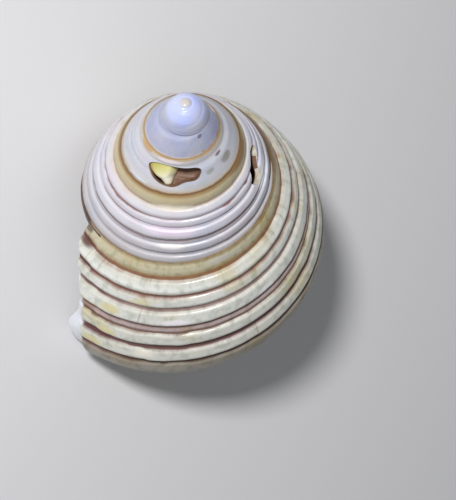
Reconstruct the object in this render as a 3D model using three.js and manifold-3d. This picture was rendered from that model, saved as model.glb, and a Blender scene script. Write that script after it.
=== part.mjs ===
import * as THREE from 'three';
import { mergeVertices } from 'three/addons/utils/BufferGeometryUtils.js';
import Module from 'manifold-3d';

// Top shell, one hollow natural piece, in millimetres with +Z up.
// It is first grown about its own axis (apex up, origin in the apex), then laid down on its mouth.
// A "turn" counts whorls along the spiral: 0 is the front of the last whorl, -1 one whorl earlier.

// Growth of the seam between whorls, per turn
const seamRadius = 7.25;
const radiusPerTurn = 1.61;
const seamDrop = 8.84;
const dropPerTurn = 2.18;
const widthPerTurn = 1.6;
const earlyWidth = 0.2;
const heightKeys = [[-5, 0.17], [-4, 0.2], [-3, 0.25], [-2, 0.32], [-1, 0.64], [0, 1], [1, 1.62]];
const earlyTurn = -2;
const earlyLift = 1.9;
const earlyLiftRate = 0.642;
const earlyPinch = 0.174;

// Whorl section below the seam, on the last whorl at the front
const grooves = [
  { out: 0.58, down: 1.5, width: 0.12 },
  { out: 1.53, down: 2.4, width: 0.28 },
  { out: 2.14, down: 3.47, width: 0.34 },
  { out: 2.98, down: 5, width: 0.5 },
  { out: 3.67, down: 6.64, width: 0.42 },
  { out: 4.33, down: 8.06, width: 0.26 },
  { out: 4.28, down: 9.71, width: 0.3 },
];
const cordHeight = 0.24;
const cordFadeStart = -2.1;
const cordFadeEnd = -1.1;
const baseRim = { out: 3.48, down: 11 };
const baseFall = [
  { share: 0.78, down: 11.45 },
  { share: 0.5, down: 11.7 },
  { share: 0.25, down: 11.75 },
];
const coreRadius = 0.12;
const tuckDepth = 0.5;

// Edge of the mouth, as degrees round the axis against the depth below the seam
const lipTrail = [
  [0, 162],
  [1.5, 163],
  [2.4, 156],
  [3.5, 152],
  [5, 145.5],
  [6.5, 144.5],
  [7.9, 143],
  [9.4, 139.5],
  [10.4, 136],
  [12.4, 132],
];
const frontAngle = 90;

// Hollow of the whorls
const wall = 0.8;
const lipWall = 0.38;
const seamWall = 0.25;
const hollowStart = -2.7;
const mouthOvershoot = 0.03;
const pillarShare = 0.17;
const innerRim = [
  { out: 1.53, down: 2.4 },
  { out: 2.56, down: 4.23 },
  { out: 3.67, down: 6.64 },
  { out: 4.33, down: 8.06 },
  { out: 4.28, down: 9.65 },
  { out: 3.48, down: 11 },
];
const innerFloor = { out: 1.6, down: 11.45 };
const floorDip = 0.3;
const roof = [{ out: -3.4, down: 11.75 }, { out: 3.48, down: 11 }, { out: 4.28, down: 9.71 }];
const roofLead = 10;

// Two worn holes: middle, half length and half height along the spiral, and lean
const holes = [
  { turn: -1.953, half: 0.096, down: 3.15, downHalf: 1.5, lean: 2 },
  { turn: -1.21, half: 0.043, down: 3.1, downHalf: 0.78, lean: 12 },
];
const holeReach = 0.5;
const holeDepth = 0.95;
const holePoints = 20;
const holeRound = 0.75;
const slant = new THREE.Vector2(0.8, 0.6);

// Rounded knob hanging behind the first hole, from its root to its tip
const knobRoot = { turn: -1.86, radius: 2.2, height: -3 };
const knobTip = { turn: -1.947, radius: 3.75, height: -4.1 };
const knobRadius = 0.95;

const apexRadius = 1.45;
const pillarLine = [[0, -21.9], [0.42, -21.7], [0.85, -20.8], [1, -19], [0.7, -10], [0.3, 0], [0, 0.5]];

// Lying pose: lean of the axis, side of the shell turned up, heading, and wear where it touches
const restLean = 46.1;
const restSide = -43.3;
const restYaw = 84.55;
const restWear = 0.1;

const radians = Math.PI / 180;
const fineStep = 12 * radians;
const coarseStep = 18 * radians;
const coarseUntil = -1.5;
const joints = [-4, -3.3, -2.4, -1.5, -0.6];
const tongueTurn = 0.02;
const tongueShrink = 0.1;
const heightCurve = new THREE.SplineCurve(heightKeys.map(([turn, size]) => new THREE.Vector2(turn, size)));
const lipTurn = (depth) => (trailAt(depth) - frontAngle) / 360;

const wasm = await Module();
wasm.setup();

// Seam radius, height and section size at a turn
function growth(turn) {
  const early = Math.max(0, earlyTurn - turn);
  const radius = seamRadius * radiusPerTurn ** turn * Math.exp(-earlyPinch * early ** 2);
  const lift = earlyLift * (1 - Math.exp(-earlyLiftRate * early ** 2));
  const height = lift - seamDrop * dropPerTurn ** turn;
  const wide = widthPerTurn ** turn * (1 + earlyWidth * early);
  const along = THREE.MathUtils.mapLinear(turn, heightKeys[0][0], heightKeys.at(-1)[0], 0, 1);
  const tall = heightCurve.getPoint(THREE.MathUtils.clamp(along, 0, 1)).y;
  return { radius, height, wide, tall };
}

// Point of the whorl section at a turn, by its offsets from the seam
function section(turn, out, down) {
  const { radius, height, wide, tall } = growth(turn);
  return { t: turn, radius: radius + wide * out, height: height - tall * down };
}

function trailAt(depth) {
  const last = lipTrail.length - 1;
  for (let i = 0; i < last; i += 1) {
    const [from, angleFrom] = lipTrail[i];
    const [to, angleTo] = lipTrail[i + 1];
    if (depth <= to) return THREE.MathUtils.mapLinear(Math.max(depth, from), from, to, angleFrom, angleTo);
  }
  return lipTrail[last][1];
}

// Point at a turn, a radius and a height about the shell's own axis
function place(turn, radius, height) {
  const angle = turn * 2 * Math.PI + frontAngle * radians;
  return new THREE.Vector3(radius * Math.cos(angle), -radius * Math.sin(angle), height);
}

// Outline of the whorl from the seam to the rim of the base, with its cords raised by a share
function whorlLine(cords) {
  const line = [{ out: 0, down: 0 }, { out: 0.3, down: 0.66 }];
  grooves.forEach((groove, i) => {
    const next = grooves[i + 1];
    const before = grooves[i - 1] ?? { out: 0, down: 0 };
    const after = next ?? baseRim;
    const run = new THREE.Vector2(after.out - before.out, after.down - before.down).normalize();
    for (const side of [-0.5, 0.5]) {
      const shift = side * groove.width;
      line.push({ out: groove.out + run.x * shift, down: groove.down + run.y * shift });
    }
    if (!next) return;
    const start = line.at(-1);
    const step = new THREE.Vector2(next.out - start.out, next.down - start.down);
    const normal = new THREE.Vector2(step.y, -step.x).normalize();
    for (const [along, rise] of [[0.16, 0.7], [0.46, 1], [0.78, 0.7]]) {
      const lift = rise * cordHeight * cords;
      line.push({
        out: start.out + step.x * along + normal.x * lift,
        down: start.down + step.y * along + normal.y * lift,
      });
    }
  });
  line.push(baseRim);
  return line;
}

// Closed outer section: whorl outline, base, and the narrow core along the axis
function outerSection(turn, turnAt) {
  const cords = THREE.MathUtils.smoothstep(turn, cordFadeStart, cordFadeEnd);
  const ring = whorlLine(cords).map(({ out, down }) => section(turnAt(down), out, down));
  const rim = ring.at(-1);
  for (const { share, down } of baseFall) {
    const point = section(turnAt(down), 0, down);
    ring.push({ ...point, radius: rim.radius * share });
  }
  const foot = ring.at(-1);
  ring.push({ ...foot, radius: coreRadius });
  const seam = ring[0];
  const tuck = growth(seam.t).tall * tuckDepth;
  ring.push({ t: seam.t, radius: coreRadius, height: seam.height + tuck });
  ring.push({ t: seam.t, radius: seam.radius - 1.6 * tuck, height: seam.height + tuck });
  return ring.reverse();
}

// Closed section of the hollow: inside of the own wall, the pillar, and the whorl above
function hollowSection(turnAt, thickness) {
  const ring = innerRim.map(({ out, down }, i) => {
    const before = innerRim[i - 1] ?? grooves[0];
    const after = innerRim[i + 1] ?? innerFloor;
    const run = new THREE.Vector2(after.out - before.out, after.down - before.down).normalize();
    return section(turnAt(down), out - run.y * thickness, down + run.x * thickness);
  });
  const rim = ring.at(-1);
  const { radius, tall } = growth(rim.t);
  const pillar = radius * pillarShare;
  const floor = rim.height - floorDip * tall;
  ring.push({ t: rim.t, radius: (rim.radius + pillar) / 2, height: floor });
  ring.push({ t: rim.t, radius: pillar, height: floor });
  for (const { out, down } of roof) {
    const t = turnAt(down - roofLead);
    const point = section(t - 1, out, down);
    const gap = seamWall * growth(t).wide;
    ring.push({ t, radius: Math.max(pillar, point.radius + gap), height: point.height - gap });
  }
  return ring.reverse();
}

// Solid swept through a run of closed sections, capped at both ends
function sweep(sections) {
  const count = sections[0].length;
  const points = sections.flatMap((ring) => ring.map((p) => place(p.t, p.radius, p.height)));
  const faces = [];
  for (let s = 0; s + 1 < sections.length; s += 1) {
    for (let i = 0; i < count; i += 1) {
      const a = s * count + i;
      const b = s * count + ((i + 1) % count);
      faces.push(a, b, b + count, a, b + count, a + count);
    }
  }
  const flat = (ring) => ring.map((p) => new THREE.Vector2(p.radius, p.height));
  const cap = (ring) => THREE.ShapeUtils.triangulateShape(flat(ring), []);
  for (const [i, j, k] of cap(sections[0])) faces.push(k, j, i);
  const last = (sections.length - 1) * count;
  for (const [i, j, k] of cap(sections.at(-1))) faces.push(last + i, last + j, last + k);
  return toSolid(points.flatMap((p) => p.toArray()), faces);
}

function toSolid(positions, faces) {
  const mesh = new wasm.Mesh({
    numProp: 3,
    vertProperties: new Float32Array(positions),
    triVerts: new Uint32Array(faces),
  });
  return new wasm.Manifold(mesh);
}

function toGeometry(solid) {
  const mesh = solid.getMesh();
  const geometry = new THREE.BufferGeometry();
  geometry.setAttribute('position', new THREE.BufferAttribute(mesh.vertProperties, 3));
  geometry.setIndex(new THREE.BufferAttribute(mesh.triVerts, 1));
  return geometry;
}

function geometrySolid(geometry) {
  geometry.deleteAttribute('normal');
  geometry.deleteAttribute('uv');
  const merged = mergeVertices(geometry, 1e-5);
  return toSolid(merged.getAttribute('position').array, merged.getIndex().array);
}

// Sections over a stretch of the spiral at an even step
function stretch(from, to, step, ringAt) {
  const count = Math.ceil((to - from) * 2 * Math.PI / step);
  const sections = [];
  for (let i = 0; i <= count; i += 1) {
    const share = i / count;
    sections.push(ringAt(THREE.MathUtils.lerp(from, to, share), share));
  }
  return sections;
}

// Smaller section just past the end of a stretch, buried in the next one
function tongue(turn) {
  const ring = outerSection(turn, () => turn);
  const radius = ring.reduce((sum, p) => sum + p.radius, 0) / ring.length;
  const height = ring.reduce((sum, p) => sum + p.height, 0) / ring.length;
  return ring.map((p) => ({
    t: turn + tongueTurn,
    radius: THREE.MathUtils.lerp(p.radius, radius, tongueShrink),
    height: THREE.MathUtils.lerp(p.height, height, tongueShrink),
  }));
}

function growOuter() {
  const plain = (turn) => outerSection(turn, () => turn);
  const lip = (turn, share) => outerSection(turn, (depth) => lipTurn(depth) * share);
  const last = joints.at(-1);
  let body = sweep([
    ...stretch(last, 0, fineStep, plain),
    ...stretch(0, lipTurn(0), fineStep, lip).slice(1),
  ]);
  for (let i = 0; i + 1 < joints.length; i += 1) {
    const step = joints[i] < coarseUntil ? coarseStep : fineStep;
    body = body.add(sweep([...stretch(joints[i], joints[i + 1], step, plain), tongue(joints[i + 1])]));
  }
  const dome = new THREE.SphereGeometry(apexRadius, 20, 12);
  dome.rotateX(Math.PI / 2);
  body = body.add(geometrySolid(dome));
  const line = pillarLine.map(([radius, height]) => new THREE.Vector2(radius, height));
  const pillar = new THREE.LatheGeometry(line, 14);
  pillar.rotateX(Math.PI / 2);
  return body.add(geometrySolid(pillar));
}

// Outward offset of the plain whorl line at a depth below the seam
function outAt(depth) {
  const line = [{ out: 0, down: 0 }, ...grooves, baseRim];
  const next = line.findIndex((point) => point.down >= depth);
  const { out, down } = line[next - 1];
  return THREE.MathUtils.mapLinear(depth, down, line[next].down, out, line[next].out);
}

// Plug that passes through the wall along the outline of a hole
function holePlug(hole) {
  const power = (value) => Math.sign(value) * Math.abs(value) ** holeRound;
  const points = [];
  for (const reach of [holeReach, -holeDepth]) {
    const onWall = (turn, depth) => {
      const p = section(turn, outAt(depth), depth);
      return place(turn, p.radius + slant.x * reach, p.height + slant.y * reach);
    };
    points.push(onWall(hole.turn, hole.down));
    for (let i = 0; i < holePoints; i += 1) {
      const angle = 2 * Math.PI * i / holePoints;
      const along = hole.half * power(Math.cos(angle));
      const across = hole.lean * along + hole.downHalf * power(Math.sin(angle));
      points.push(onWall(hole.turn + along, hole.down + across));
    }
  }
  const faces = [];
  const inner = holePoints + 1;
  for (let i = 0; i < holePoints; i += 1) {
    const a = 1 + i;
    const b = 1 + ((i + 1) % holePoints);
    faces.push(0, a, b, inner, inner + b, inner + a);
    faces.push(a, inner + a, b, b, inner + a, inner + b);
  }
  return toSolid(points.flatMap((p) => p.toArray()), faces);
}

function growKnob() {
  const root = place(knobRoot.turn, knobRoot.radius, knobRoot.height);
  const tip = place(knobTip.turn, knobTip.radius, knobTip.height);
  const knob = new THREE.SphereGeometry(1, 14, 10);
  knob.scale(knobRadius, root.distanceTo(tip), knobRadius);
  const direction = tip.clone().sub(root).normalize();
  knob.applyQuaternion(new THREE.Quaternion().setFromUnitVectors(new THREE.Vector3(0, 1, 0), direction));
  knob.translate(root.x, root.y, root.z);
  return geometrySolid(knob);
}

function growHollow() {
  const sections = stretch(hollowStart, 0, coarseStep, (turn) => hollowSection(() => turn, wall));
  const toLip = (turn, share) => hollowSection(
    (depth) => (lipTurn(Math.max(0, depth)) + mouthOvershoot) * share,
    THREE.MathUtils.lerp(wall, lipWall, share ** 2),
  );
  sections.push(...stretch(0, lipTurn(0), fineStep, toLip).slice(1));
  return sweep(sections);
}

let body = growOuter().subtract(growHollow());
for (const hole of holes) body = body.subtract(holePlug(hole));
body = body.add(growKnob());

// Lay the grown shell on its mouth, centred over the origin, with its resting points worn flat
function layDown(solid) {
  const geometry = toGeometry(solid);
  const lean = restLean * radians;
  const side = restSide * radians;
  const across = Math.sin(lean);
  const up = new THREE.Vector3(across * Math.cos(side), across * Math.sin(side), Math.cos(lean));
  geometry.applyQuaternion(new THREE.Quaternion().setFromUnitVectors(up, new THREE.Vector3(0, 0, 1)));
  geometry.rotateZ(restYaw * radians);
  geometry.computeBoundingBox();
  const { min, max } = geometry.boundingBox;
  geometry.translate(-(min.x + max.x) / 2, -(min.y + max.y) / 2, -min.z - restWear);
  const room = new THREE.BoxGeometry(60, 60, 40);
  room.translate(0, 0, 20);
  return toGeometry(geometrySolid(geometry).intersect(geometrySolid(room)));
}

const geometry = layDown(body);
const shell = new THREE.Mesh(geometry, new THREE.MeshStandardMaterial({ color: 0xd8d0b8, roughness: 0.4 }));
shell.name = 'shell';

const part = new THREE.Group();
part.name = 'top_shell';
part.add(shell);

export default part;
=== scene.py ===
from math import cos, pi, radians, sin

import bmesh
import bpy
import numpy as np
from mathutils import Matrix, Vector
from mathutils.geometry import tessellate_polygon


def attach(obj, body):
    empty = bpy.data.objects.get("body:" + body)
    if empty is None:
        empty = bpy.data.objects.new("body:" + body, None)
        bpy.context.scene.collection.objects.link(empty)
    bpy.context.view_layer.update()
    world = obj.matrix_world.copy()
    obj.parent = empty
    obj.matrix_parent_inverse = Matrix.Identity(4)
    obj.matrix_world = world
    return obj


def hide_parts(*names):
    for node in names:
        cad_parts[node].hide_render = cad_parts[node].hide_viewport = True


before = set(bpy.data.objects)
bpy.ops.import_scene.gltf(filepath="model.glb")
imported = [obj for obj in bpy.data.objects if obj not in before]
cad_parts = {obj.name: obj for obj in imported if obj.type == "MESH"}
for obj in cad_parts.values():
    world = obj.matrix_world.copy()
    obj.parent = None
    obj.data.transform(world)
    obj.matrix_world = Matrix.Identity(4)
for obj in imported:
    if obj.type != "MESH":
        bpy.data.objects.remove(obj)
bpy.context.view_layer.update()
mm = 0.001  # the shell is grown in millimetres, Blender works in metres

# The shell grows about its own axis, apex up. A "turn" counts whorls along the spiral:
# 0 is the front of the last whorl, -1 one whorl earlier. "Down" is the depth below the seam.
spiral = {
    "seamRadius": 7.25,
    "radiusPerTurn": 1.61,
    "seamDrop": 8.84,
    "dropPerTurn": 2.18,
    "widthPerTurn": 1.6,
    "earlyWidth": 0.2,
    "earlyTurn": -2,
    "earlyLift": 1.9,
    "earlyLiftRate": 0.642,
    "earlyPinch": 0.174,
    "heightKeys": [(-5, 0.17), (-4, 0.2), (-3, 0.25), (-2, 0.32), (-1, 0.64), (0, 1), (1, 1.62)],
    "stretches": [-3.3, -2.4, -1.5, -0.6],
    "tongueTurn": 0.02,
    "tongueShrink": 0.1,
}

# Whorl section on the last whorl: plain line as (down, out), and cords as (top, bottom, height)
whorl = {
    "line": [(0, 0), (0.7, 0.3), (1.5, 0.62), (2.4, 1.5), (3.47, 2.14), (5, 2.98), (6.64, 3.7),
             (8.06, 4.3), (9.71, 4.26), (11, 3.48)],
    "cords": [(0.3, 1.3, 0.03), (1.55, 2.36, 0.18), (2.52, 3.32, 0.15), (3.62, 4.74, 0.22),
              (4.92, 5.22, 0.05), (5.4, 6.46, 0.21), (6.84, 7.86, 0.2), (8.06, 9.58, 0.18),
              (9.84, 10.9, 0.13)],
    "shoulder": 0.24,
    "crown": 0.04,
    "fade": (-2.1, -1.1),
    "rimDown": 11,
    "baseFall": [(0, 11.75), (0.25, 11.75), (0.5, 11.7), (0.78, 11.45), (1, 11)],
    "baseCords": 7,
    "baseCordHeight": 0.09,
    "baseReach": 8,
    "baseInner": 0.02,
    "baseRimFade": (1, 0.94),
    "baseMiddleFade": (0.2, 0.4),
    "core": 0.12,
    "tuck": 0.5,
    "tuckSlope": 1.6,
    "points": 150,
    "basePoints": 46,
    "step": radians(2.4),
    "earlyStep": radians(4),
    "earlyUntil": -1.5,
    "coarseUntil": -2.4,
}

# Uneven wear as (height, patches per turn, patches per unit down)
wear = {
    "cord": (0.14, 26, 7),
    "coarse": (0.03, 60, 1.1),
    "fine": (0.018, 190, 0.6),
    "coarseFade": (-2.2, -1),
    "fineFade": (-1.4, -0.6),
    "shoulderPower": 0.8,
    "seamFade": 0.25,
}

# Edge of the mouth as (down, degrees round the axis), its chips, and an older edge healed over behind it
lip = {
    "trail": [(0, 162), (1.5, 161.5), (2.4, 154), (3.5, 149), (5, 143), (6.1, 142.8), (6.8, 144),
              (7.4, 144.8), (7.9, 144.5), (9.4, 141), (10.4, 136.5), (12.4, 132)],
    "layerEnd": [(0, 180), (2.4, 180), (3, 149.5), (4.4, 143), (5, 140.5), (5.6, 139), (6.6, 137),
                 (7.9, 136), (9.4, 132), (11, 129)],
    "layerStep": 0.16,
    "layerFade": 0.008,
    "chip": 1.1,
    "chipRate": 1.7,
    "chipRow": 3.3,
    "chipBias": 0.35,
    "chipGrowth": 6,
    "scar": [(0, 0.165), (2.2, 0.158), (3.4, 0.13), (5, 0.115), (5.6, 0.13), (6.7, 0.1), (6.9, 0.045),
             (7.8, 0.05), (8, 0.035), (11, 0.03)],
    "scarStep": 0.07,
    "scarFade": 0.035,
}

hollow = {
    "wall": 0.8,
    "lipWall": 0.3,
    "seamWall": 0.25,
    "start": -1.935,
    "overshoot": 0.1,
    "pillar": [(-2, 0.7), (-1.75, 0.7), (-1.45, 0.17), (0.3, 0.17)],
    "rim": [(2.4, 1.53), (4.23, 2.56), (6.64, 3.67), (8.06, 4.33), (9.65, 4.28), (11, 3.48)],
    "before": (1.5, 0.58),
    "after": (11.45, 1.6),
    "dip": 0.3,
    "roof": [(12, -9), (11.75, -3.4), (11, 3.48), (9.71, 4.28)],
    "roofLead": 10,
    "step": radians(5),
    "points": 64,
    "tight": 0.45,
}

frontAngle = 90


def smoothLine(keys, at):
    x, y = np.array(keys, float).T
    slope = np.gradient(y, x)
    i = np.clip(np.searchsorted(x, at, side="right") - 1, 0, len(x) - 2)
    width = x[i + 1] - x[i]
    s = np.clip((at - x[i]) / width, 0, 1)
    rise = y[i] * (1 + 2 * s) * (1 - s) ** 2 + y[i + 1] * s * s * (3 - 2 * s)
    return rise + width * (slope[i] * s * (1 - s) ** 2 - slope[i + 1] * s * s * (1 - s))


def brokenLine(keys, at):
    x, y = np.array(keys, float).T
    return np.interp(at, x, y)


def smoothStep(low, high, at):
    s = np.clip((at - low) / (high - low), 0, 1)
    return s * s * (3 - 2 * s)


latticeSize = 128
lattice = np.random.default_rng(11).uniform(-1, 1, (latticeSize, latticeSize))


def roughness2d(x, y):  # smooth seeded noise between -1 and 1
    x, y = np.broadcast_arrays(np.asarray(x, float), np.asarray(y, float))
    i, j = np.floor(x).astype(int), np.floor(y).astype(int)
    a, b = smoothStep(0, 1, x - i), smoothStep(0, 1, y - j)
    at = lambda p, q: lattice[p % latticeSize, q % latticeSize]
    top = at(i, j) * (1 - a) + at(i + 1, j) * a
    return top * (1 - b) + (at(i, j + 1) * (1 - a) + at(i + 1, j + 1) * a) * b


def growth(turn):
    g = spiral
    early = np.maximum(0, g["earlyTurn"] - turn)
    radius = g["seamRadius"] * g["radiusPerTurn"] ** turn * np.exp(-g["earlyPinch"] * early ** 2)
    lift = g["earlyLift"] * (1 - np.exp(-g["earlyLiftRate"] * early ** 2))
    height = lift - g["seamDrop"] * g["dropPerTurn"] ** turn
    wide = g["widthPerTurn"] ** turn * (1 + g["earlyWidth"] * early)
    return radius, height, wide, smoothLine(g["heightKeys"], turn)


def lipTurn(down):
    return (brokenLine(lip["trail"], down) - frontAngle) / 360


def layerEnd(down):
    return (brokenLine(lip["layerEnd"], down) - frontAngle) / 360


def place(turn, radius, height):
    angle = turn * 2 * pi + radians(frontAngle)
    return np.stack([radius * np.cos(angle), -radius * np.sin(angle), height + 0 * turn], -1)


def relief(turn, down):  # height of cords, wear and healed edges above the plain line
    shape = np.zeros_like(down)
    for top, bottom, height in whorl["cords"]:
        inside = np.minimum(down - top, bottom - down)
        shoulder = np.sin(np.clip(inside / whorl["shoulder"], 0, 1) * pi / 2) ** wear["shoulderPower"]
        middle = np.clip(1 - ((2 * down - top - bottom) / (bottom - top)) ** 2, 0, 1)
        amount, perTurn, perDown = wear["cord"]
        worn = 1 + amount * roughness2d(turn * perTurn, top * perDown)
        shape += (height * shoulder * worn + whorl["crown"] * middle) * (inside > 0)
    shape *= smoothStep(*whorl["fade"], turn)
    for kind in ("coarse", "fine"):
        amount, perTurn, perDown = wear[kind]
        patch = amount * roughness2d(turn * perTurn, down * perDown)
        shape += patch * smoothStep(*wear[kind + "Fade"], turn)
    past = turn - brokenLine(lip["scar"], down)
    healed = np.where(past > 0, np.exp(-np.maximum(past, 0) / lip["scarFade"]), 0)
    shape -= lip["scarStep"] * healed
    bare = smoothStep(0, lip["layerFade"], turn - layerEnd(down))  # thin pearly edge past the outer layer
    return shape * (1 - bare) - lip["layerStep"] * bare


def outerSection(turnAt, points):
    down = np.linspace(0, whorl["rimDown"], points)
    turns = turnAt(down)
    radius, height, wide, tall = growth(turns)
    out = smoothLine(whorl["line"], down)
    slope = np.gradient(out, down)
    length = np.hypot(1, slope)
    raised = relief(turns, down) * smoothStep(0, wear["seamFade"], down)
    raised -= holeWear(turns, down)
    across = radius + wide * (out + raised / length)
    ring = [(turns, across, height - tall * (down - raised * slope / length))]
    share = np.linspace(1, whorl["baseInner"], whorl["basePoints"])[1:]
    fall = smoothLine(whorl["baseFall"], share)
    turns = turnAt(fall)
    _, height, _, tall = growth(turns)
    wave = np.abs(np.sin(share * pi * whorl["baseCords"]))
    wave = wave * smoothStep(*whorl["baseRimFade"], share) * smoothStep(*whorl["baseMiddleFade"], share)
    wave = wave * whorl["baseCordHeight"] * smoothStep(*whorl["fade"], turns)
    rim = ring[0][1][-1]
    ring.append((turns, np.maximum(rim * share, whorl["core"]), height - tall * (fall + wave)))
    seam = [part[0] for part in ring[0]]
    lift = tall[0] * whorl["tuck"]
    inner = np.array([whorl["core"], seam[1] - whorl["tuckSlope"] * lift])
    ring.append((np.full(2, seam[0]), inner, np.full(2, seam[2] + lift)))
    return [np.concatenate(parts)[::-1] for parts in zip(*ring)]


def hollowSection(turnAt, thickness):
    keys = np.array([hollow["before"], *hollow["rim"], hollow["after"]], float)
    run = keys[2:] - keys[:-2]
    run /= np.hypot(*run.T)[:, None]
    down = keys[1:-1, 0] + run[:, 1] * thickness
    out = keys[1:-1, 1] - run[:, 0] * thickness
    turns = turnAt(keys[1:-1, 0])
    radius, height, wide, tall = growth(turns)
    ring = [np.stack([turns, radius + wide * out, height - tall * down], 1)]
    last, rimRadius, rimHeight = ring[0][-1]
    pillar = growth(last)[0] * brokenLine(hollow["pillar"], last)
    floor = rimHeight - hollow["dip"] * growth(last)[3]
    ring.append([[last, (rimRadius + pillar) / 2, floor], [last, pillar, floor]])
    for roofDown, roofOut in hollow["roof"]:
        t = turnAt(np.array([roofDown - hollow["roofLead"]]))[0]
        radius, height, wide, tall = growth(t - 1)
        gap = hollow["seamWall"] * growth(t)[2]
        ring.append([[t, max(pillar, radius + wide * roofOut + gap), height - tall * roofDown - gap]])
    ring = np.concatenate(ring)
    return roundRing(ring, hollow["points"])[::-1].T


def roundRing(ring, count):  # closed outline drawn as a smooth curve through its corners
    before, after = np.roll(ring, 1, 0), np.roll(ring, -1, 0)
    per = count // len(ring)
    parts = []
    for s in np.linspace(0, 1, per, endpoint=False):
        a, b = ring, after
        slopeA, slopeB = (after - before) / 2, (np.roll(after, -1, 0) - ring) / 2
        parts.append(a * (1 + 2 * s) * (1 - s) ** 2 + b * s * s * (3 - 2 * s)
                     + hollow["tight"] * (slopeA * s * (1 - s) ** 2 - slopeB * s * s * (1 - s)))
    return np.stack(parts, 1).reshape(-1, ring.shape[1])


# Two worn holes as closed outlines of (turn, down), the first one bean-shaped
holes = {
    "front": [(-2.046, 2.6), (-2.03, 1.95), (-1.99, 1.72), (-1.94, 1.5), (-1.89, 1.6), (-1.86, 2.2),
              (-1.866, 3.1), (-1.895, 4.5), (-1.928, 5.2), (-1.958, 5.2), (-1.99, 4.3), (-2.028, 4.1)],
    "side": [(-1.252, 2.6), (-1.236, 1.98), (-1.205, 2.02), (-1.178, 2.6), (-1.166, 3.5), (-1.176, 4.25),
             (-1.2, 4.2), (-1.216, 3.4)],
    "reach": 0.5,
    "depth": 0.72,
    "slant": (0.8, 0.6),
    "rimWear": 0.1,
    "rimWidth": 0.16,
    "per": 6,
    "nearTurns": 0.2,
    "wallOut": 0.6,
    "flatScale": 30,
}


def holeOutline(name):
    outline = np.array(holes[name], float)
    before, after = np.roll(outline, 1, 0), np.roll(outline, -1, 0)
    beyond = np.roll(outline, -2, 0)
    parts = []
    for s in np.linspace(0, 1, holes["per"], endpoint=False):
        parts.append(outline * (1 + 2 * s) * (1 - s) ** 2 + after * s * s * (3 - 2 * s)
                     + (after - before) / 2 * s * (1 - s) ** 2 - (beyond - outline) / 2 * s * s * (1 - s))
    return np.stack(parts, 1).reshape(-1, 2)


def holeWear(turn, down):  # wall rounded off towards the edge of each hole
    sunk = np.zeros_like(down)
    for name in ("front", "side"):
        outline = holeOutline(name)
        middle = outline.mean(0)
        if not np.any(np.abs(turn - middle[0]) < holes["nearTurns"]):
            continue
        radius, _, _, tall = growth(middle[0])
        scale = np.array([2 * pi * (radius + holes["wallOut"]), tall])
        apart = np.stack([turn, down], -1)[:, None, :] - outline[None]
        near = np.min(np.hypot(*(apart * scale).transpose(2, 0, 1)), 1)
        sunk = np.maximum(sunk, holes["rimWear"] * np.exp(-(near / holes["rimWidth"]) ** 2))
    return sunk


def holePlug(name):
    turn, down = holeOutline(name).T
    rings = []
    for reach in (holes["reach"], -holes["depth"]):
        radius, height, wide, tall = growth(turn)
        across = radius + wide * smoothLine(whorl["line"], down) + holes["slant"][0] * reach
        rings.append(place(turn, across, height - tall * down + holes["slant"][1] * reach))
    count = len(turn)
    faces = [(i, count + i, count + (i + 1) % count, (i + 1) % count) for i in range(count)]
    flat = [Vector((t * holes["flatScale"], d, 0)) for t, d in zip(turn, down)]
    for i, j, k in tessellate_polygon([flat]):
        faces += [(i, j, k), (count + k, count + j, count + i)]
    return np.concatenate(rings), faces


def sweep(sections):
    count = len(sections[0][0])
    points = np.concatenate([place(*ring) for ring in sections])
    grid = np.arange(len(sections) * count).reshape(len(sections), count)
    a, b = grid[:-1], np.roll(grid, -1, 1)[:-1]
    c, d = np.roll(grid, -1, 1)[1:], grid[1:]
    faces = np.stack([a, b, c, d], -1).reshape(-1, 4).tolist()
    for ring, base, flip in ((sections[0], 0, True), (sections[-1], (len(sections) - 1) * count, False)):
        flat = [Vector((r, h, 0)) for r, h in zip(ring[1], ring[2])]
        for i, j, k in tessellate_polygon([flat]):
            area = (flat[j] - flat[i]).cross(flat[k] - flat[i]).z
            i, k = (i, k) if area > 0 else (k, i)
            faces.append((base + k, base + j, base + i) if flip else (base + i, base + j, base + k))
    return points, faces


def stretch(start, end, step, ringAt):
    count = int(np.ceil((end - start) * 2 * pi / step))
    return [ringAt(start + (end - start) * i / count, i / count) for i in range(count + 1)]


def tongue(turn, points):  # smaller section just past the end of a stretch, buried in the next one
    turns, radius, height = outerSection(lambda down: np.full_like(down, turn), points)
    shrink = spiral["tongueShrink"]
    return [turns + spiral["tongueTurn"],
            radius + (radius.mean() - radius) * shrink, height + (height.mean() - height) * shrink]


def outerStretch(index):
    joints = spiral["stretches"]
    start = joints[index]
    early = start < whorl["earlyUntil"]
    points = whorl["points"] // 2 if start < whorl["coarseUntil"] else whorl["points"]
    step = whorl["earlyStep"] if early else whorl["step"]
    plain = lambda turn, share: outerSection(lambda down: np.full_like(down, turn), points)
    if index + 1 < len(joints):
        return sweep(stretch(start, joints[index + 1], step, plain) + [tongue(joints[index + 1], points)])

    def chips(down):
        return lip["chip"] / 360 * (roughness2d(down * lip["chipRate"], lip["chipRow"]) - lip["chipBias"])

    def toLip(turn, share):
        grown = share ** lip["chipGrowth"]
        return outerSection(lambda down: (lipTurn(down) + chips(down) * grown) * share, points)

    return sweep(stretch(start, 0, step, plain) + stretch(0, lipTurn(0), step, toLip)[1:])


def growHollow():
    plain = lambda turn, share: hollowSection(lambda down: np.full_like(down, turn), hollow["wall"])

    def toLip(turn, share):
        thickness = hollow["wall"] + (hollow["lipWall"] - hollow["wall"]) * share ** 2
        return hollowSection(lambda d: (lipTurn(np.maximum(0, d)) + hollow["overshoot"]) * share, thickness)

    return sweep(stretch(hollow["start"], 0, hollow["step"], plain)
                 + stretch(0, float(lipTurn(0)), hollow["step"], toLip)[1:])


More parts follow.
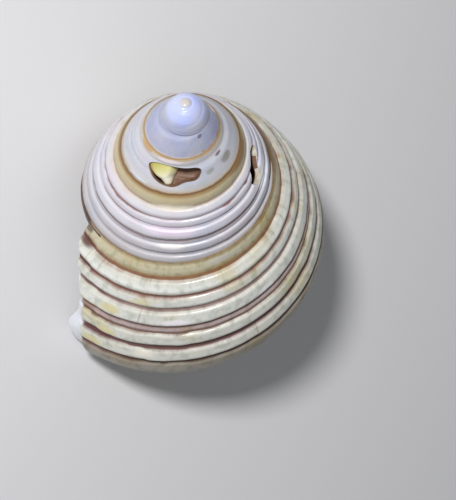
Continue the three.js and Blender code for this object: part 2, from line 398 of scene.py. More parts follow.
def lathe(line, sides):
    line = np.array(line, float)
    body = line[1:-1]
    angle = np.arange(sides) * 2 * pi / sides
    rings = np.stack([body[:, :1] * np.cos(angle), body[:, :1] * np.sin(angle),
                      np.repeat(body[:, 1:2], sides, 1)], -1)
    points = np.concatenate([[[0, 0, line[0, 1]]], rings.reshape(-1, 3), [[0, 0, line[-1, 1]]]])
    last = len(points) - 1
    faces = [(0, 1 + (i + 1) % sides, 1 + i) for i in range(sides)]
    for r in range(len(body) - 1):
        for i in range(sides):
            a, b = 1 + r * sides + i, 1 + r * sides + (i + 1) % sides
            faces.append((a, b, b + sides, a + sides))
    faces += [(last - sides + i, last - sides + (i + 1) % sides, last) for i in range(sides)]
    return points, faces


# Smooth first chamber at the tip, as (radius, height) from the axis down, and the pillar as in the solid
apex = {
    "line": [(0, -1.8), (1.2, -1.7), (1.98, -1.4), (2.06, -1.02), (1.92, -0.65), (1.74, -0.3),
             (1.61, 0.08), (1.45, 0.42), (1.25, 0.73), (0.98, 1.04), (0.76, 1.2), (0.58, 1.28),
             (0.46, 1.29), (0.38, 1.36), (0.26, 1.43), (0.12, 1.46), (0, 1.47)],
    "sides": 96,
    "seamDepth": 0.045,
    "seamWidth": 0.06,
    "seamFrom": -4,
    "seamTo": -2.9,
    "skirtLeft": (0.25, 0.42),
    "skirtRight": (0.84, 0.7),
    "skirtIn": 0.26,
    "skirtTop": (-0.25, -0.75),
}
pillar = {
    "line": [(0, -21.9), (0.42, -21.7), (0.85, -20.8), (1, -19), (0.7, -10), (0.3, 0), (0, 0.5)],
    "sides": 40,
}

# Rounded lobe behind the front hole, from its root to its tip
knob = {
    "root": (-1.858, 2.25, -2.9),
    "tip": (-1.938, 3.74, -4.12),
    "line": [(0, -2.4), (0.6, -1.9), (0.95, -1), (1.1, 0), (1.1, 0.6), (1, 1.1), (0.78, 1.55), (0.5, 1.85),
             (0.36, 2.1), (0.22, 2.32), (0, 2.4)],
    "sides": 48,
    "inset": 0.3,
    "ahead": 0.5,
}


def smoothLathe(piece, steps=4):
    line = np.array(piece["line"], float)
    at = np.linspace(0, len(line) - 1, (len(line) - 1) * steps + 1)
    index = np.arange(len(line))
    radius = smoothLine(list(zip(index, line[:, 0])), at)
    height = smoothLine(list(zip(index, line[:, 1])), at)
    radius[[0, -1]] = 0
    return lathe(np.stack([np.maximum(radius, 0), height], 1), piece["sides"])


def growApex():  # first chamber with the shallow seam of its first turn
    points, faces = smoothLathe(apex)
    part = (np.arctan2(-points[:, 1], points[:, 0]) - radians(frontAngle)) / (2 * pi)
    behind = smoothStep(*apex["skirtLeft"], part % 1) * smoothStep(*apex["skirtRight"], part % 1)
    drawn = 1 - apex["skirtIn"] * (1 - behind) * smoothStep(*apex["skirtTop"], points[:, 2])
    points[:, :2] *= drawn[:, None]  # the skirt only closes the gap behind, where the first turn begins
    across = np.hypot(points[:, 0], points[:, 1])
    for whole in (-4, -3, -2):
        turn = part + whole
        seam = growth(turn)[0]
        on = (turn > apex["seamFrom"]) & (turn < apex["seamTo"]) & (points[:, 2] > 0)
        points[:, 2] -= apex["seamDepth"] * np.exp(-((across - seam) / apex["seamWidth"]) ** 2) * on
    return points, faces


def growKnob():
    points, faces = smoothLathe(knob)
    root, tip = (Vector(place(np.float64(t), r, h)) for t, r, h in (knob["root"], knob["tip"]))
    turned = (tip - root).to_track_quat("Z", "Y").to_matrix()
    points = points @ np.array(turned).T + np.array(root)
    x, y, z = points.T
    part = (np.arctan2(-y, x) - radians(frontAngle)) / (2 * pi)
    limit = np.zeros(len(z))
    for whole in (-1, -2, -3):  # the lobe stays behind the outer face of the whorls
        turn = part + whole
        radius, height, wide, tall = growth(turn)
        down = (height - z) / tall
        within = (down > 0) & (down < whorl["rimDown"]) & (turn < knob["root"][0] + knob["ahead"])
        limit = np.maximum(limit, (radius + wide * smoothLine(whorl["line"], down) - knob["inset"]) * within)
    shrink = np.minimum(1, limit / np.maximum(np.hypot(x, y), 0.001))
    return np.stack([x * shrink, y * shrink, z], 1), faces


def rawObject(name, points, faces, slot, slots):
    mesh = bpy.data.meshes.new(name)
    mesh.from_pydata(np.asarray(points).tolist(), [], faces)
    for material in slots:
        mesh.materials.append(material)
    mesh.polygons.foreach_set("material_index", [slot] * len(mesh.polygons))
    outward = bmesh.new()
    outward.from_mesh(mesh)
    bmesh.ops.recalc_face_normals(outward, faces=outward.faces)
    outward.to_mesh(mesh)
    outward.free()
    piece = bpy.data.objects.new(name, mesh)
    bpy.context.scene.collection.objects.link(piece)
    return piece


def joinSolids(base, steps):
    for other, operation in steps:
        cut = base.modifiers.new(other.name, "BOOLEAN")
        cut.object, cut.operation, cut.solver = other, operation, "MANIFOLD"
        cut.material_mode = "INDEX"
    bpy.context.view_layer.update()
    graph = bpy.context.evaluated_depsgraph_get()
    mesh = bpy.data.meshes.new_from_object(base.evaluated_get(graph))
    for piece in [base] + [other for other, _ in steps]:
        old = piece.data
        bpy.data.objects.remove(piece)
        bpy.data.meshes.remove(old)
    return mesh


# Slots that the raw solids carry through the cuts, and the limits that sort their corners
rawSlots = ["stretch0", "stretch1", "stretch2", "stretch3", "apex", "pillar", "hollow", "hole", "knob"]
sorting = {
    "apexTurn": -4.0,
    "apexTop": 3,
    "deepest": 12,
    "margin": 0.05,
    "baseDown": 10.6,
    "baseShare": 0.985,
    "bareFade": 0.006,
}


def growShell():
    slots = [bpy.data.materials.new(name) for name in rawSlots]
    make = lambda name, shape: rawObject(name, *shape, rawSlots.index(name.split(".")[0]), slots)
    outer = [make(f"stretch{i}", outerStretch(i)) for i in range(len(spiral["stretches"]))]
    print("outer stretches", [len(piece.data.polygons) for piece in outer])
    steps = [(piece, "UNION") for piece in outer[-2::-1]]
    steps += [(make("apex", growApex()), "UNION"), (make("pillar", smoothLathe(pillar)), "UNION")]
    steps += [(make("hollow", growHollow()), "DIFFERENCE")]
    steps += [(make(f"hole.{name}", holePlug(name)), "DIFFERENCE") for name in ("front", "side")]
    steps += [(make("knob", growKnob()), "UNION")]
    mesh = joinSolids(outer[-1], steps)
    for material in slots:
        bpy.data.materials.remove(material)
    print("shell solid", len(mesh.vertices), "points", len(mesh.polygons), "faces")
    return mesh


shellMesh = growShell()


# Turn and down at every face corner for the colours. The third number is the bare lip, depth in a hole
# or length along the lobe. Returns the final material slot of each face.
def markWhorls(mesh):
    points = np.zeros(len(mesh.vertices) * 3)
    mesh.vertices.foreach_get("co", points)
    faceSlot = np.zeros(len(mesh.polygons), int)
    mesh.polygons.foreach_get("material_index", faceSlot)
    size = np.zeros(len(mesh.polygons), int)
    mesh.polygons.foreach_get("loop_total", size)
    corner = np.zeros(len(mesh.loops), int)
    mesh.loops.foreach_get("vertex_index", corner)
    x, y, z = points.reshape(-1, 3)[corner].T
    slot = np.repeat(faceSlot, size)
    across = np.hypot(x, y)
    part = (np.arctan2(-y, x) - radians(frontAngle)) / (2 * pi)
    joints = spiral["stretches"] + [float(lipTurn(0))]
    turn = np.full(len(x), sorting["apexTurn"])
    for i in range(len(joints) - 1):
        on = slot == i
        middle = (joints[i] + joints[i + 1]) / 2
        turn[on] = (part + np.round(middle - part))[on]
    inside = np.isin(slot, [rawSlots.index("hollow"), rawSlots.index("hole")])
    for whole in (1, 0, -1, -2, -3):  # the innermost whorl that holds the corner
        radius, height, wide, tall = growth(part + whole)
        depth = (height - z) / tall
        limit = radius + wide * smoothLine(whorl["line"], depth) + sorting["margin"]
        held = (depth > 0) & (depth < sorting["deepest"]) & (across < limit)
        turn = np.where(inside & held, part + whole, turn)
    turn[slot == rawSlots.index("pillar")] = 0
    radius, height, wide, tall = growth(turn)
    down = (height - z) / tall
    share = across / (radius + wide * whorl["line"][-1][1])
    base = (down > sorting["baseDown"]) & (share < sorting["baseShare"])
    down = np.where(base, whorl["rimDown"] + whorl["baseReach"] * (1 - share), down)
    onApex = slot == rawSlots.index("apex")
    down = np.where(onApex, sorting["apexTop"] - z, down)
    whorlAt = mesh.attributes.new("whorl", "FLOAT_VECTOR", "CORNER")
    extra = smoothStep(0, sorting["bareFade"], turn - layerEnd(down)) * (slot < len(joints) - 1)
    sunk = radius + wide * smoothLine(whorl["line"], down) - across
    extra = np.where(slot == rawSlots.index("hole"), sunk, extra)
    root, tip = (place(np.float64(t), r, h) for t, r, h in (knob["root"], knob["tip"]))
    reach = (np.stack([x, y, z], 1) - root) @ (tip - root) / ((tip - root) @ (tip - root))
    extra = np.where(slot == rawSlots.index("knob"), reach, extra)
    whorlAt.data.foreach_set("vector", np.stack([turn, down, extra], 1).astype(np.float32).ravel())
    finish = {"pillar": 1, "hollow": 1, "hole": 2, "knob": 3}
    return np.array([finish.get(name, 0) for name in rawSlots])[faceSlot]


# Lying pose: lean of the axis, side turned up, heading, and the shift that centres the solid over the origin
rest = {
    "lean": radians(46.1),
    "side": radians(-43.3),
    "heading": radians(84.55),
    "shift": (-9.20944, -6.93528, 15.32063),
}


def layDown(mesh):
    across = sin(rest["lean"])
    up = Vector((across * cos(rest["side"]), across * sin(rest["side"]), cos(rest["lean"])))
    turned = Matrix.Rotation(rest["heading"], 3, "Z") @ up.rotation_difference(Vector((0, 0, 1))).to_matrix()
    points = np.zeros(len(mesh.vertices) * 3)
    mesh.vertices.foreach_get("co", points)
    points = points.reshape(-1, 3) @ np.array(turned).T + np.array(rest["shift"])
    points[:, 2] = np.maximum(points[:, 2], 0)  # resting points worn flat
    mesh.vertices.foreach_set("co", (points * mm).ravel())
    mesh.update()


finishOf = markWhorls(shellMesh)
layDown(shellMesh)


def toLinear(hexColour):
    parts = [int(hexColour[i:i + 2], 16) / 255 for i in (0, 2, 4)]
    return [c / 12.92 if c <= 0.04045 else ((c + 0.055) / 1.055) ** 2.4 for c in parts] + [1]


def addNode(tree, kind, settings, inputs):
    node = tree.nodes.new("ShaderNode" + kind)
    for name, value in settings.items():
        if name == "stops":
            for i, (at, colour) in enumerate(value):
                stop = node.color_ramp.elements[i] if i < 2 else node.color_ramp.elements.new(1)
                stop.position = at
                stop.color = toLinear(colour) if isinstance(colour, str) else colour
            continue
        setattr(node, name, value)
    pairs = inputs.items() if isinstance(inputs, dict) else enumerate(inputs)
    for name, value in pairs:
        if value is None:
            continue
        if isinstance(value, bpy.types.NodeSocket):
            tree.links.new(value, node.inputs[name])
        else:
            node.inputs[name].default_value = value
    return node


def newMaterial(name):
    material = bpy.data.materials.new(name)
    material.use_nodes = True
    return material, material.node_tree, material.node_tree.nodes["Principled BSDF"]


# Colours down the whorl as (down, colour), from the seam over ramp, cords and grooves; the darkest browns at
# each seam are painted shade in the seam's crease over a brown seam line
lastWhorl = [
    # The dark stops at -0.3 and -0.14 are painted shade in the seam's crease, over a brown seam line
    (-0.42, "b8a896"), (-0.3, "553826"), (-0.14, "7a5c3e"), (0.02, "a98f64"), (0.26, "c6ba98"),
    (0.75, "d0c9ac"), (1.1, "c6b48a"), (1.3, "a5784e"), (1.48, "946848"), (1.58, "cfcec2"),
    (1.95, "e4e5de"), (2.28, "d4d3c6"), (2.37, "5e3d32"), (2.5, "8f7064"), (2.6, "d2d1c5"),
    (2.9, "e3e4de"), (3.24, "d3d2c6"), (3.36, "8a6a62"), (3.54, "b09a94"), (3.66, "d3d3c8"),
    (4.2, "e5e6df"), (4.66, "d2d1c3"), (4.78, "4e3328"), (4.9, "a08a84"), (5.08, "c2b4b2"),
    (5.22, "9a7f76"), (5.36, "74523f"), (5.45, "d0cfc2"), (5.92, "e2e2d9"),
]
baseWhorl = [
    (5.92, "e2e2d9"), (6.4, "cfcec1"), (6.5, "583a36"), (6.8, "7c5a56"), (6.9, "cdccc0"),
    # From 8.16 to 9.5 the grey-tan base cord is darkened as painted shade
    (7.4, "dfdfd5"), (7.78, "c8c6b9"), (7.9, "4a3226"), (8.06, "5c483a"), (8.16, "9c9486"),
    (8.8, "a69e90"), (9.5, "968d7f"), (9.66, "54403a"), (9.84, "655349"), (9.96, "bab3a5"),
    (10.8, "c4beb1"), (11, "a3917f"), (11.2, "cac4b6"), (12.2, "d4cfc2"), (12.4, "a89684"),
    (12.6, "d4cfc2"), (13.5, "d7d3c8"), (13.7, "af9e8c"), (13.9, "d9d6ca"), (14.9, "dcd8ce"),
    (15.1, "bbac9b"), (15.3, "dfdcd2"), (17, "e6e4de"), (19, "ecebe8"),
]
wornWhorl = [
    # The dark stop at -0.16 is painted shade in the seam's crease, over a brown seam line
    (-0.42, "cfc8bc"), (-0.25, "bfae92"), (-0.16, "6e4c30"), (-0.04, "a5834f"), (0.16, "c6b68c"),
    (1.1, "cfc5a2"), (1.32, "b6946a"), (1.5, "d2cabe"), (1.7, "dcdadd"), (2.3, "cfcdd2"),
    (2.42, "9a8380"), (2.54, "d4d1d6"), (3.1, "d0ced3"), (3.22, "9c8582"), (3.36, "d5d2d7"),
    (4, "dbd9de"), (4.74, "c6c3c8"), (4.88, "6c4f4b"), (5.04, "c5c3c7"), (5.6, "d0ced1"),
    (6.2, "bdbabd"), (6.36, "77595a"), (6.54, "c0bcbe"), (7.2, "c4c1c0"), (7.5, "a59a90"),
    # The dark brown stops from 7.68 down are the seam line at the foot, deepened as painted shade in its
    # crease
    (7.68, "5a3d2c"), (8.2, "4a3020"),
]
smoothWhorl = [
    (-0.42, "bfc1cf"), (-0.26, "bcae98"), (-0.17, "a67c48"), (-0.04, "c2a878"), (0.4, "d4cdc6"),
    (1.3, "cccbca"), (2.2, "c8cad1"), (4.6, "cfd0d5"), (5.9, "d5d2ce"), (6.6, "cbc2b6"),
    # The brown stops from 6.9 down are the seam line at the foot, deepened as painted shade in its crease
    (6.9, "b09a7c"), (7.1, "7a5a38"),
]

# Marks on the shell, with painted highlights and painted shade among them: turn, down, half length in turns,
# half width, colour, strength
marksAndPaintedLight = [
    (-0.098, 4.35, 0.014, 0.32, "f6f6f2", 0.9),
    (0.056, 7.15, 0.012, 0.32, "f0ebd8", 0.8),
    (-0.05, 0.55, 0.035, 0.28, "c9c5b8", 0.8),
    # Painted highlight on the pink-lavender worn cords
    (-0.96, 3.75, 0.06, 0.45, "ecdcec", 0.8),
    # Painted highlight on a whitish cord
    (-0.965, 5.5, 0.03, 0.25, "f6f0ea", 0.8),
    (-0.96, 1.3, 0.05, 0.3, "e8dfca", 0.9),
    (-1.21, 4.7, 0.05, 0.95, "eef0f3", 0.95),
    (-1.152, 2.45, 0.011, 0.1, "7c4a42", 0.9),
    (-1.09, 2.45, 0.026, 0.1, "7c4a42", 0.9),
    (-1.152, 3.15, 0.012, 0.12, "7c4a42", 0.9),
    (-1.088, 3.15, 0.024, 0.12, "7c4a42", 0.9),
    (-1.117, 6.2, 0.01, 0.16, "7d6168", 0.9),
    (-0.845, 2.45, 0.075, 0.1, "80584c", 0.85),
    (-0.84, 3.35, 0.07, 0.12, "8a6258", 0.85),
    (-2.13, 1.9, 0.018, 0.24, "77606c", 0.95),
    (-2.15, 3.7, 0.028, 0.9, "8b897a", 0.8),
    (-2.075, 3.6, 0.018, 0.55, "999a90", 0.7),
    (-1.93, 0.55, 0.055, 0.5, "efdfe2", 0.9),
    (-1.81, 0.45, 0.045, 0.5, "c89c58", 0.85),
    # Painted highlight, bluish white
    (-1.845, 6.1, 0.035, 0.35, "e2e8ff", 0.8),
    (0.105, 4.05, 0.016, 0.35, "d8cd92", 0.8),
    (0.1, 5.95, 0.014, 0.35, "dad096", 0.8),
    (0.115, 7.4, 0.014, 0.35, "d6cb92", 0.8),
    (0.07, 2.95, 0.016, 0.25, "ddd4a4", 0.7),
    # Painted highlight on the third cord
    (0.022, 4.25, 0.022, 0.28, "f8f2f6", 0.85),
    (0.185, 1.45, 0.022, 0.22, "5a2e28", 0.9),
    (0.192, 0.45, 0.012, 0.4, "50302a", 0.8),
    (0.165, 2.42, 0.02, 0.14, "4e2a28", 0.9),
    (0.12, 6.65, 0.03, 0.26, "5e3034", 0.9),
    (0.14, 5.2, 0.02, 0.2, "70444a", 0.8),
    (0.135, 3.45, 0.03, 0.14, "6a3e38", 0.85),
    # Brown seam band round the side: brown colour deepened by painted shade
    (-1.2, 0.2, 0.075, 0.5, "8c6c46", 0.85),
    # Brown ramp round the side: brown colour deepened by painted shade
    (-0.3, 0.2, 0.08, 0.5, "7a5c40", 0.6),
    (-3.08, 2.9, 0.018, 0.6, "77708c", 0.9),
]


# Settings that many nodes share
softStep = {"interpolation_type": "SMOOTHSTEP"}
mixColour = {"data_type": "RGBA"}
multiplyColour = {"data_type": "RGBA", "blend_type": "MULTIPLY"}
product = {"operation": "MULTIPLY"}

# Sizes are in mm. Ranges are turns, down or noise where a look starts and is full
surface = {
    "whorlLength": 60,
    "driftSize": 1.43,
    "driftReach": 0.12,
    "patchSize": 3.57,
    "patchRange": (0.5, 0.75),
    "patchColour": "f2e8c4",
    "mottleSize": 0.625,
    "mottleRange": (0.46, 0.68),
    "mottleColour": "e3e6e0",
    "lineWidth": 0.3125,
    "lineLength": 2.86,
    "lineRange": (0.62, 0.8),
    "lineColour": "cdbba8",
    "darkRange": (0.35, 0.1),
    "lipRange": (0.02, 0.2),
    "stainColour": "6e3a38",
    "freshFrom": (-0.75, -0.45),
    "wornFrom": (-1.7, -1.4),
    "sheenSize": 6.25,
    "sheenStops": [(0.35, "dfe4f4"), (0.5, "f5f5f7"), (0.66, "f1e7ee")],
    "sheenRange": (-0.5, -0.8),
    "sheenShare": 0.6,
    "markRange": (1.6, 0.9),
    "markRough": 0.8,
    "bareColour": "eceef4",
    "grainSize": 0.11,
    "grainRange": (0.3, 0.7),
    "roughness": (0.34, 0.54),
    "bumpStrength": 0.5,
    "bumpDepth": 0.06,
    "ior": 1.53,
    "coat": 0.25,
    "coatRoughness": 0.15,
}
tipLook = {
    "cloudSize": 2.4,
    "cloudRange": (0.35, 0.65),
    "seamRange": (6.7, 7.3),
    "seamPatches": (0.45, 0.62),
    "seamColour": "b98f54",
    "greys": ("b0b5cf", "c0c1ca"),
    "blues": ("b9c5fa", "c8cfec"),
    "nubColour": "cbc6bf",
    "greyFrom": (-2.3, -2.6),
    "domeFrom": (-3.1, -3.5),
    "domeRange": (2.15, 2.8),
    "nubRange": (1.72, 1.6),
}


def wornShell():
    # Sea-worn aragonite shell: chalky cream cords polished by sand, stained grooves, bluish layer at the tip
    look = surface
    material, tree, shader = newMaterial("sea-worn aragonite shell")
    at = addNode(tree, "Attribute", {"attribute_name": "whorl"}, [])
    spot = addNode(tree, "SeparateXYZ", {}, [at.outputs["Vector"]])
    turn, down, bare = spot.outputs
    # Noise along the last whorl runs in millimetres
    inMm = addNode(tree, "VectorMath", product, [at.outputs["Vector"], (look["whorlLength"], 1, 0)])
    along = inMm.outputs[0]
    wander = addNode(tree, "TexNoise", {}, {"Vector": along, "Scale": 1 / look["driftSize"], "Detail": 3})
    drift = addNode(tree, "Math", {"operation": "MULTIPLY_ADD"},
                    [wander.outputs["Fac"], look["driftReach"], -look["driftReach"] / 2])
    warped = addNode(tree, "Math", {"operation": "ADD"}, [down, drift.outputs[0]])
    bands = []
    for stops in (lastWhorl, baseWhorl, wornWhorl, smoothWhorl):
        low, high = stops[0][0], stops[-1][0]
        share = addNode(tree, "MapRange", {}, [warped.outputs[0], low, high])
        scaled = [((d - low) / (high - low), colour) for d, colour in stops]
        bands.append(addNode(tree, "ValToRGB", {"stops": scaled}, [share.outputs[0]]).outputs[0])
    onBase = addNode(tree, "Math", {"operation": "GREATER_THAN"}, [warped.outputs[0], baseWhorl[0][0]])
    fresh = addNode(tree, "Mix", mixColour, {0: onBase.outputs[0], 6: bands[0], 7: bands[1]})
    # Yellow tint in slow patches, cool mottling, and thin growth lines across the cords
    patches = addNode(tree, "TexNoise", {}, {"Vector": along, "Scale": 1 / look["patchSize"], "Detail": 2})
    tint = addNode(tree, "MapRange", softStep, [patches.outputs["Fac"], *look["patchRange"]])
    yellow = addNode(tree, "Mix", multiplyColour,
                     {0: tint.outputs[0], 6: fresh.outputs[2], 7: toLinear(look["patchColour"])})
    mottle = addNode(tree, "TexNoise", {}, {"Vector": along, "Scale": 1 / look["mottleSize"], "Detail": 5})
    grey = addNode(tree, "MapRange", softStep, [mottle.outputs["Fac"], *look["mottleRange"]])
    cool = addNode(tree, "Mix", multiplyColour,
                   {0: grey.outputs[0], 6: yellow.outputs[2], 7: toLinear(look["mottleColour"])})
    stretched = addNode(tree, "VectorMath", product,
                        [along, (1 / look["lineWidth"], 1 / look["lineLength"], 1)])
    growthLines = addNode(tree, "TexNoise", {}, {"Vector": stretched.outputs[0], "Scale": 1, "Detail": 4})
    streak = addNode(tree, "MapRange", softStep, [growthLines.outputs["Fac"], *look["lineRange"]])
    streaked = addNode(tree, "Mix", multiplyColour,
                       {0: streak.outputs[0], 6: cool.outputs[2], 7: toLinear(look["lineColour"])})
    # Grooves turn maroon towards the mouth
    bright = addNode(tree, "RGBToBW", {}, [streaked.outputs[2]])
    dark = addNode(tree, "MapRange", softStep, [bright.outputs[0], *look["darkRange"]])
    nearLip = addNode(tree, "MapRange", softStep, [turn, *look["lipRange"]])
    stain = addNode(tree, "Math", product, [dark.outputs[0], nearLip.outputs[0]])
    maroon = addNode(tree, "Mix", mixColour,
                     {0: stain.outputs[0], 6: streaked.outputs[2], 7: toLinear(look["stainColour"])})
    freshShare = addNode(tree, "MapRange", softStep, [turn, *look["freshFrom"]])
    aged = addNode(tree, "Mix", mixColour, {0: freshShare.outputs[0], 6: bands[2], 7: maroon.outputs[2]})
    wornShare = addNode(tree, "MapRange", softStep, [turn, *look["wornFrom"]])
    older = addNode(tree, "Mix", mixColour, {0: wornShare.outputs[0], 6: bands[3], 7: aged.outputs[2]})
    # Milky grey whorl with an orange seam under the blue dome and its beige nub
    cloudAt = addNode(tree, "TexCoord", {}, [])
    cloudScale = 1 / (tipLook["cloudSize"] * mm)
    clouds = addNode(tree, "TexNoise", {},
                     {"Vector": cloudAt.outputs["Object"], "Scale": cloudScale, "Detail": 2})
    milky = addNode(tree, "MapRange", softStep, [clouds.outputs["Fac"], *tipLook["cloudRange"]])
    pale, blue = [addNode(tree, "Mix", mixColour,
                          {0: milky.outputs[0], 6: toLinear(first), 7: toLinear(second)}).outputs[2]
                  for first, second in (tipLook["greys"], tipLook["blues"])]
    nearSeam = addNode(tree, "MapRange", softStep, [warped.outputs[0], *tipLook["seamRange"]])
    orange = addNode(tree, "MapRange", softStep, [patches.outputs["Fac"], *tipLook["seamPatches"]])
    patchy = addNode(tree, "Math", product, [nearSeam.outputs[0], orange.outputs[0]])
    seamed = addNode(tree, "Mix", mixColour,
                     {0: patchy.outputs[0], 6: pale, 7: toLinear(tipLook["seamColour"])})
    greyShare = addNode(tree, "MapRange", softStep, [turn, *tipLook["greyFrom"]])
    tip = addNode(tree, "Mix", mixColour,
                  {0: greyShare.outputs[0], 6: older.outputs[2], 7: seamed.outputs[2]})
    domeFoot = addNode(tree, "MapRange", softStep, [down, *tipLook["domeRange"]])
    dome = addNode(tree, "Mix", mixColour, {0: domeFoot.outputs[0], 6: blue, 7: pale})
    onNub = addNode(tree, "MapRange", softStep, [down, *tipLook["nubRange"]])
    crown = addNode(tree, "Mix", mixColour,
                    {0: onNub.outputs[0], 6: dome.outputs[2], 7: toLinear(tipLook["nubColour"])})
    domeShare = addNode(tree, "MapRange", softStep, [turn, *tipLook["domeFrom"]])
    blueTip = addNode(tree, "Mix", mixColour,
                      {0: domeShare.outputs[0], 6: tip.outputs[2], 7: crown.outputs[2]})
    # Pearly pink and blue drift over the worn whorls
    sheen = addNode(tree, "TexNoise", {}, {"Vector": along, "Scale": 1 / look["sheenSize"], "Detail": 2})
    pearl = addNode(tree, "ValToRGB", {"stops": look["sheenStops"]}, [sheen.outputs["Fac"]])
    onWorn = addNode(tree, "MapRange", softStep, [turn, *look["sheenRange"]])
    pearlShare = addNode(tree, "Math", product, [onWorn.outputs[0], look["sheenShare"]])
    colour = addNode(tree, "Mix", multiplyColour,
                     {0: pearlShare.outputs[0], 6: blueTip.outputs[2], 7: pearl.outputs[0]})
    # Each mark is blended in as a soft patch, painted highlights and painted shade included
    for markTurn, markDown, halfTurn, halfDown, hexColour, strength in marksAndPaintedLight:
        offset = addNode(tree, "VectorMath", {"operation": "SUBTRACT"},
                         [at.outputs["Vector"], (markTurn, markDown, 0)])
        scaled = addNode(tree, "VectorMath", product, [offset.outputs[0], (1 / halfTurn, 1 / halfDown, 0)])
        far = addNode(tree, "VectorMath", {"operation": "LENGTH"}, [scaled.outputs[0]])
        rough = addNode(tree, "Math", {"operation": "MULTIPLY_ADD"},
                        [wander.outputs["Fac"], look["markRough"], far.outputs["Value"]])
        mask = addNode(tree, "MapRange", softStep, [rough.outputs[0], *look["markRange"], 0.0, strength])
        colour = addNode(tree, "Mix", mixColour,
                         {0: mask.outputs[0], 6: colour.outputs[2], 7: toLinear(hexColour)})
    colour = addNode(tree, "Mix", mixColour,
                     {0: bare, 6: colour.outputs[2], 7: toLinear(look["bareColour"])})
    tree.links.new(colour.outputs[2], shader.inputs["Base Color"])
    grain = addNode(tree, "TexNoise", {}, {"Vector": along, "Scale": 1 / look["grainSize"], "Detail": 3})
    gloss = addNode(tree, "MapRange", {}, [grain.outputs["Fac"], *look["grainRange"], *look["roughness"]])
    tree.links.new(gloss.outputs[0], shader.inputs["Roughness"])
    ribs = addNode(tree, "Math", {"operation": "ADD"}, [growthLines.outputs["Fac"], grain.outputs["Fac"]])
    bump = addNode(tree, "Bump", {}, {"Strength": look["bumpStrength"], "Distance": look["bumpDepth"] * mm,
                                      "Height": ribs.outputs[0]})
    tree.links.new(bump.outputs[0], shader.inputs["Normal"])
    shader.inputs["IOR"].default_value = look["ior"]
    shader.inputs["Coat Weight"].default_value = look["coat"]
    shader.inputs["Coat Roughness"].default_value = look["coatRoughness"]
    return material


lining = {
    "sheenSize": 3.85,
    "sheenStops": [(0.35, "cfd8ea"), (0.5, "ece9e4"), (0.65, "f0dbe0")],
    "deepShadeSize": 1.1,
    # Brown painted shade deep inside the whorls
    "deepShadeStops": [(0.3, "8a6650"), (0.7, "b08c70")],
    "deepRange": (-0.75, -1.1),
    "roughness": (0.22, 0.6),
    "ior": 1.6,
    "coat": 0.3,
}


def nacre():
    # Mother-of-pearl inside the whorls: silky, pinkish and bluish, turning brown deep inside as painted
    # shade
    look = lining
    material, tree, shader = newMaterial("mother-of-pearl lining")
    at = addNode(tree, "Attribute", {"attribute_name": "whorl"}, [])
    spot = addNode(tree, "SeparateXYZ", {}, [at.outputs["Vector"]])
    where = addNode(tree, "TexCoord", {}, []).outputs["Object"]
    sheen = addNode(tree, "TexNoise", {},
                    {"Vector": where, "Scale": 1 / (look["sheenSize"] * mm), "Detail": 2})
    pearl = addNode(tree, "ValToRGB", {"stops": look["sheenStops"]}, [sheen.outputs["Fac"]])
    deepShadeNoise = addNode(tree, "TexNoise", {},
                   {"Vector": where, "Scale": 1 / (look["deepShadeSize"] * mm), "Detail": 4})
    shadeBrown = addNode(tree, "ValToRGB", {"stops": look["deepShadeStops"]}, [deepShadeNoise.outputs["Fac"]])
    # Painted shade: brown further in than about one whorl from the mouth
    deep = addNode(tree, "MapRange", softStep, [spot.outputs[0], *look["deepRange"]])
    colour = addNode(tree, "Mix", mixColour,
                     {0: deep.outputs[0], 6: pearl.outputs[0], 7: shadeBrown.outputs[0]})
    tree.links.new(colour.outputs[2], shader.inputs["Base Color"])
    gloss = addNode(tree, "MapRange", {}, [deep.outputs[0], 0.0, 1.0, *look["roughness"]])
    tree.links.new(gloss.outputs[0], shader.inputs["Roughness"])
    shader.inputs["IOR"].default_value = look["ior"]
    shader.inputs["Coat Weight"].default_value = look["coat"]
    return material


wallEdge = {
    "layerSize": 0.714,
    "paleStops": [(0.35, "a08a6c"), (0.55, "c9bda6"), (0.7, "dcd8d4")],
    # Brown painted shade deeper in the hole
    "shadeBrownStops": [(0.3, "6a4d3c"), (0.7, "84644f")],
    "depthRange": (0.02, 0.12),
    "roughness": 0.55,
}


def brokenWall():
    # Cut edge of the wall: pale layers of shell at the rim, brown painted shade further in
    look = wallEdge
    material, tree, shader = newMaterial("worn shell wall edge")
    at = addNode(tree, "Attribute", {"attribute_name": "whorl"}, [])
    spot = addNode(tree, "SeparateXYZ", {}, [at.outputs["Vector"]])
    where = addNode(tree, "TexCoord", {}, []).outputs["Object"]
    layers = addNode(tree, "TexNoise", {},
                     {"Vector": where, "Scale": 1 / (look["layerSize"] * mm), "Detail": 3})
    pale = addNode(tree, "ValToRGB", {"stops": look["paleStops"]}, [layers.outputs["Fac"]])
    shadeBrown = addNode(tree, "ValToRGB", {"stops": look["shadeBrownStops"]}, [layers.outputs["Fac"]])
    depth = addNode(tree, "MapRange", softStep, [spot.outputs[2], *look["depthRange"]])
    colour = addNode(tree, "Mix", mixColour,
                     {0: depth.outputs[0], 6: pale.outputs[0], 7: shadeBrown.outputs[0]})
    tree.links.new(colour.outputs[2], shader.inputs["Base Color"])
    shader.inputs["Roughness"].default_value = look["roughness"]
    return material


lobe = {
    # The olive stops at the root are painted shade on the lobe's upper part
    "stops": [(0.3, "bdb45c"), (0.55, "dcd694"), (0.78, "f1efd8"), (1, "eee6c8")],
    "roughness": 0.32,
    "coat": 0.3,
}


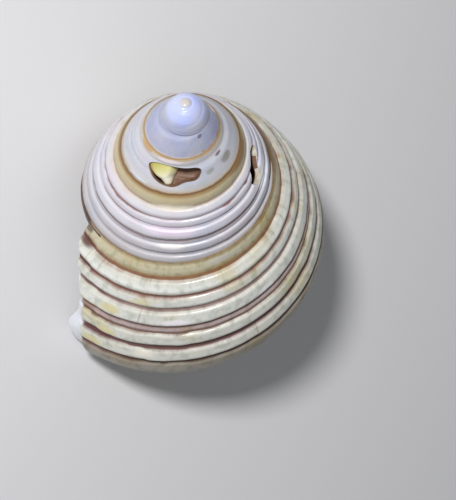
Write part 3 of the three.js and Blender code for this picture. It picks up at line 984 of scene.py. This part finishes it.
def innerLobe():
    # Smooth thickened shell layer: satin, ivory towards its tip and darkened to olive yellow at its root as
    # painted shade
    material, tree, shader = newMaterial("ivory inner shell")
    at = addNode(tree, "Attribute", {"attribute_name": "whorl"}, [])
    spot = addNode(tree, "SeparateXYZ", {}, [at.outputs["Vector"]])
    colour = addNode(tree, "ValToRGB", {"stops": lobe["stops"]}, [spot.outputs[2]])
    tree.links.new(colour.outputs[0], shader.inputs["Base Color"])
    shader.inputs["Roughness"].default_value = lobe["roughness"]
    shader.inputs["Coat Weight"].default_value = lobe["coat"]
    return material


sharpAngle = radians(50)  # keeps hole rims and the broken lip crisp
shellMesh.materials.clear()
for finish in (wornShell(), nacre(), brokenWall(), innerLobe()):
    shellMesh.materials.append(finish)
shellMesh.polygons.foreach_set("material_index", finishOf)
shellMesh.polygons.foreach_set("use_smooth", [True] * len(shellMesh.polygons))
shellMesh.set_sharp_from_angle(angle=sharpAngle)
shell = bpy.data.objects.new("worn_shell", shellMesh)
bpy.context.scene.collection.objects.link(shell)
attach(shell, "root")
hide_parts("shell")
print("shell dressed", len(shellMesh.materials), "finishes")

studio = {
    "floorHalf": 0.6,
    "floorColour": "e2e1e0",
    "worldColour": "dfe3ea",
    "worldStrength": 0.22,
    "keyColour": "fcfcff",
    "keyPower": 0.26,
    "keySize": 0.03,
    "keyAside": (-0.025, 0.045),
    "keyBack": 0.16,
    "fillPower": 0.05,
    "fillSize": 0.3,
    "fillColour": "ffffff",
    "fillFrom": (0.1, -0.1, 0.3),
    "paperRoughness": 0.9,
}

# Camera of the photograph, as azimuth, elevation and roll about a point in the shell
view = {
    "azimuth": radians(-8.18),
    "elevation": radians(56.42),
    "roll": radians(98.88),
    "distance": 130.28,
    "target": (1.309, 1.875, 8.0),
    "imageHeight": 500,
    "focalPixels": 1667,
    "clip": (0.005, 10),
}


def placeCamera():
    flat = cos(view["elevation"])
    back = Vector((sin(view["azimuth"]) * flat, -cos(view["azimuth"]) * flat, sin(view["elevation"])))
    level = Vector((0, 0, 1)).cross(back).normalized()
    steep = back.cross(level)
    right = cos(view["roll"]) * level + sin(view["roll"]) * steep
    up = back.cross(right)
    data = bpy.data.cameras.new("camera")
    data.lens = data.sensor_width * view["focalPixels"] / view["imageHeight"]
    data.clip_start, data.clip_end = view["clip"]
    camera = bpy.data.objects.new("camera", data)
    bpy.context.scene.collection.objects.link(camera)
    pose = Matrix((right, up, back)).transposed().to_4x4()
    pose.translation = (Vector(view["target"]) + back * view["distance"]) * mm
    camera.matrix_world = pose
    bpy.context.scene.camera = camera
    return right, up, back


def areaLight(name, where, towards, power, size, colour):
    data = bpy.data.lights.new(name, "AREA")
    data.energy, data.size, data.shape = power, size, "DISK"
    data.color = toLinear(colour)[:3]
    light = bpy.data.objects.new(name, data)
    bpy.context.scene.collection.objects.link(light)
    light.location = where
    light.rotation_euler = (where - towards).to_track_quat("Z", "Y").to_euler()


def buildStudio():
    right, up, back = placeCamera()
    target = Vector(view["target"]) * mm
    aside = right * studio["keyAside"][0] + up * studio["keyAside"][1]
    places = {"key": target + back * studio["keyBack"] + aside, "fill": target + Vector(studio["fillFrom"])}
    for name, where in places.items():
        areaLight(name, where, target, *[studio[name + part] for part in ("Power", "Size", "Colour")])
    world = bpy.data.worlds.new("studio")
    world.use_nodes = True
    world.node_tree.nodes["Background"].inputs["Color"].default_value = toLinear(studio["worldColour"])
    world.node_tree.nodes["Background"].inputs["Strength"].default_value = studio["worldStrength"]
    bpy.context.scene.world = world
    half = studio["floorHalf"]
    mesh = bpy.data.meshes.new("floor")
    corners = [(-half, -half, 0), (half, -half, 0), (half, half, 0), (-half, half, 0)]
    mesh.from_pydata(corners, [], [(0, 1, 2, 3)])
    material, _, shader = newMaterial("matt backdrop paper")  # flat pale grey, no shine
    shader.inputs["Base Color"].default_value = toLinear(studio["floorColour"])
    shader.inputs["Roughness"].default_value = studio["paperRoughness"]
    mesh.materials.append(material)
    floor = bpy.data.objects.new("floor", mesh)
    bpy.context.scene.collection.objects.link(floor)
    bpy.context.scene.view_settings.view_transform = "Standard"
    print("studio ready")


buildStudio()
